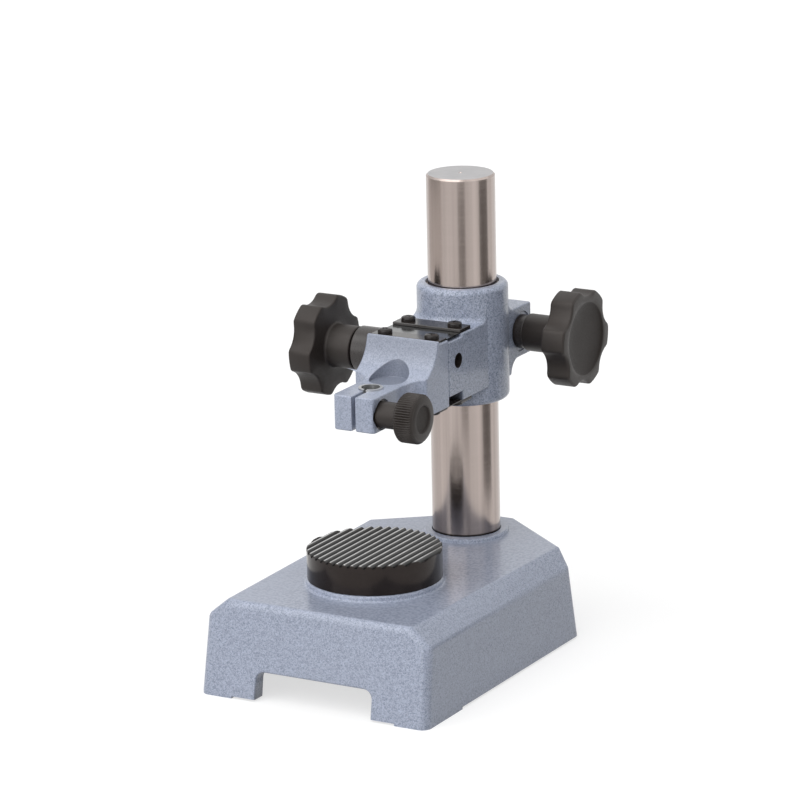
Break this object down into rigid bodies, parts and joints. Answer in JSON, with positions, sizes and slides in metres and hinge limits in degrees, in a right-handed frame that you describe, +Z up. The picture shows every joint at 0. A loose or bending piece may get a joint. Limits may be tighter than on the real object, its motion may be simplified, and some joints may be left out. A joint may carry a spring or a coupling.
{
  "type": "dial indicator stand",
  "caption": "Bench stand for a dial indicator: painted cast base with serrated anvil, steel column, and a clamped bracket whose holder is finely adjusted by a knob.",
  "frame": {"origin": "middle of the overall width and length, on the floor", "axes": "+X to the right seen from the front, +Y back towards the column, +Z up along the column"},
  "size_m": [0.11, 0.1794, 0.2033],
  "materials": {
    "paint": "hammered enamel",
    "serrated_steel": "black oxide, ground crests",
    "ground_steel": "ground",
    "blued_steel": "black oxide",
    "knob_plastic": "satin"
  },
  "bodies": {
    "stand": {"base": "paint", "anvil": "serrated_steel", "anvil_screw": "blued_steel", "column": "ground_steel", "column_bolt": "blued_steel", "column_washer": "ground_steel"},
    "liner": {"liner": "blued_steel"},
    "bracket": {"bracket": "paint", "shaft_bush": "blued_steel", "upper_leaf": "blued_steel", "lower_leaf": "blued_steel", "rear_upper_strip": "blued_steel", "rear_lower_strip": "blued_steel", "screw_upper_rear_left": "blued_steel", "screw_upper_rear_right": "blued_steel", "screw_lower_rear_left": "blued_steel", "screw_lower_rear_right": "blued_steel"},
    "holder": {"holder": "paint", "stem_bush": "ground_steel", "front_upper_strip": "blued_steel", "front_lower_strip": "blued_steel", "screw_upper_front_left": "blued_steel", "screw_upper_front_right": "blued_steel", "screw_lower_front_left": "blued_steel", "screw_lower_front_right": "blued_steel"},
    "fine_drive": {"fine_knob": "knob_plastic", "fine_shaft": "ground_steel", "shaft_clip": "blued_steel", "knob_grub": "blued_steel"},
    "clamp_washer": {"clamp_washer": "blued_steel"},
    "clamp_screw": {"clamp_knob": "knob_plastic", "clamp_stud": "ground_steel"},
    "thumb_washer": {"thumb_washer": "ground_steel"},
    "thumb_screw": {"thumb_knob": "knob_plastic", "thumb_stud": "ground_steel"}
  },
  "joints": [
    {"name": "height_slide", "type": "slide", "parent": "stand", "child": "liner", "axis": [0, 0, 1], "range_m": [-0.048, 0.046]},
    {"name": "swivel", "type": "hinge", "parent": "liner", "child": "bracket", "pos_m": [0, 0.04685, 0.1115], "axis": [0, 0, 1], "continuous": true},
    {"name": "fine_turn", "type": "hinge", "parent": "bracket", "child": "fine_drive", "pos_m": [0, 0.0106, 0.1301], "axis": [-1, 0, 0], "range_deg": [-135, 135]},
    {"name": "holder_lift", "type": "slide", "parent": "bracket", "child": "holder", "axis": [0, 0, 1], "range_m": [-0.0005, 0.0005], "deforming": ["upper_leaf", "lower_leaf"]},
    {"name": "clamp_advance", "type": "slide", "parent": "bracket", "child": "clamp_washer", "axis": [1, 0, 0], "range_m": [0, 0.00125]},
    {"name": "clamp_turn", "type": "hinge", "parent": "clamp_washer", "child": "clamp_screw", "pos_m": [0, 0.06785, 0.12965], "axis": [1, 0, 0], "range_deg": [0, 360]},
    {"name": "thumb_advance", "type": "slide", "parent": "holder", "child": "thumb_washer", "axis": [1, 0, 0], "range_m": [0, 0.0007]},
    {"name": "thumb_turn", "type": "hinge", "parent": "thumb_washer", "child": "thumb_screw", "pos_m": [0, -0.04225, 0.11855], "axis": [1, 0, 0], "range_deg": [0, 360]}
  ],
  "couplings": [
    {"joint": "fine_turn", "follows": "holder_lift", "rad_per_m": 4712.4},
    {"joint": "clamp_turn", "follows": "clamp_advance", "rad_per_m": 5026.5},
    {"joint": "thumb_turn", "follows": "thumb_advance", "rad_per_m": 8976}
  ]
}
